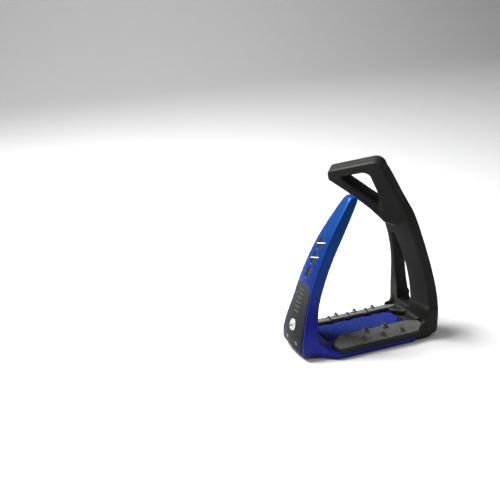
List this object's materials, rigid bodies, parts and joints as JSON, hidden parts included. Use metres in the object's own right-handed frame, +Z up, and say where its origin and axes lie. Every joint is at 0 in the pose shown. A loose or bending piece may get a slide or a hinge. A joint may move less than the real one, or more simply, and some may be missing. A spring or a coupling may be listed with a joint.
{
  "type": "safety stirrup iron",
  "caption": "Safety stirrup with a turned eye for the leather, a sprung studded tread and an outer arm that swings open to free the rider's foot.",
  "frame": {"origin": "on the ground under the middle of the tread", "axes": "+X towards the inner branch, +Y to the rear, +Z up"},
  "size_m": [0.139, 0.0733, 0.1743],
  "materials": {
    "black_moulding": "fine grained satin moulding",
    "grip_grey": "coarse non-slip texture",
    "stud_black": "blackened, matt",
    "blue_moulding": "semi-gloss",
    "blue_insert": "ribbed, satin",
    "steel": "plain",
    "spring_steel": "blued, smooth",
    "brass": "knurled brass",
    "badge_grey": "satin fading to gloss black",
    "badge_dark": "satin",
    "silver": "polished",
    "slot_dark": "smooth",
    "line_pale": "satin"
  },
  "bodies": {
    "branch": {"inner_branch": "black_moulding"},
    "tread": {"tread_frame": "black_moulding", "front_grip_bar": "grip_grey", "rear_grip_bar": "grip_grey", "front_inner_studs": "stud_black", "front_outer_studs": "stud_black", "rear_inner_studs": "stud_black", "rear_outer_studs": "stud_black", "tread_insert": "blue_insert", "tread_tray": "blue_moulding", "tray_screws": "steel", "threaded_inserts": "brass", "blade_clamp": "steel", "clamp_screws": "steel"},
    "arm": {"outer_arm": "blue_moulding", "spring_blade": "spring_steel", "blade_rivets": "steel", "badge_plate": "badge_grey", "badge_ribs": "badge_dark", "medallion_bezel": "silver", "medallion": "silver", "badge_screws": "stud_black", "slot_inserts": "slot_dark", "accent_lines": "line_pale"}
  },
  "joints": [
    {"name": "tread_tilt", "type": "hinge", "parent": "branch", "child": "tread", "pos_m": [0.0605, 0, 0.008], "axis": [0, -1, 0], "range_deg": [0, 9.5], "stiffness_Nm_per_rad": 60, "springref_deg": -1.15},
    {"name": "arm_swing", "type": "hinge", "parent": "tread", "child": "arm", "pos_m": [-0.059, 0, 0.009], "axis": [0, -1, 0], "range_deg": [0, 26], "stiffness_Nm_per_rad": 12, "springref_deg": -1.72, "deforming": ["spring_blade"]}
  ]
}
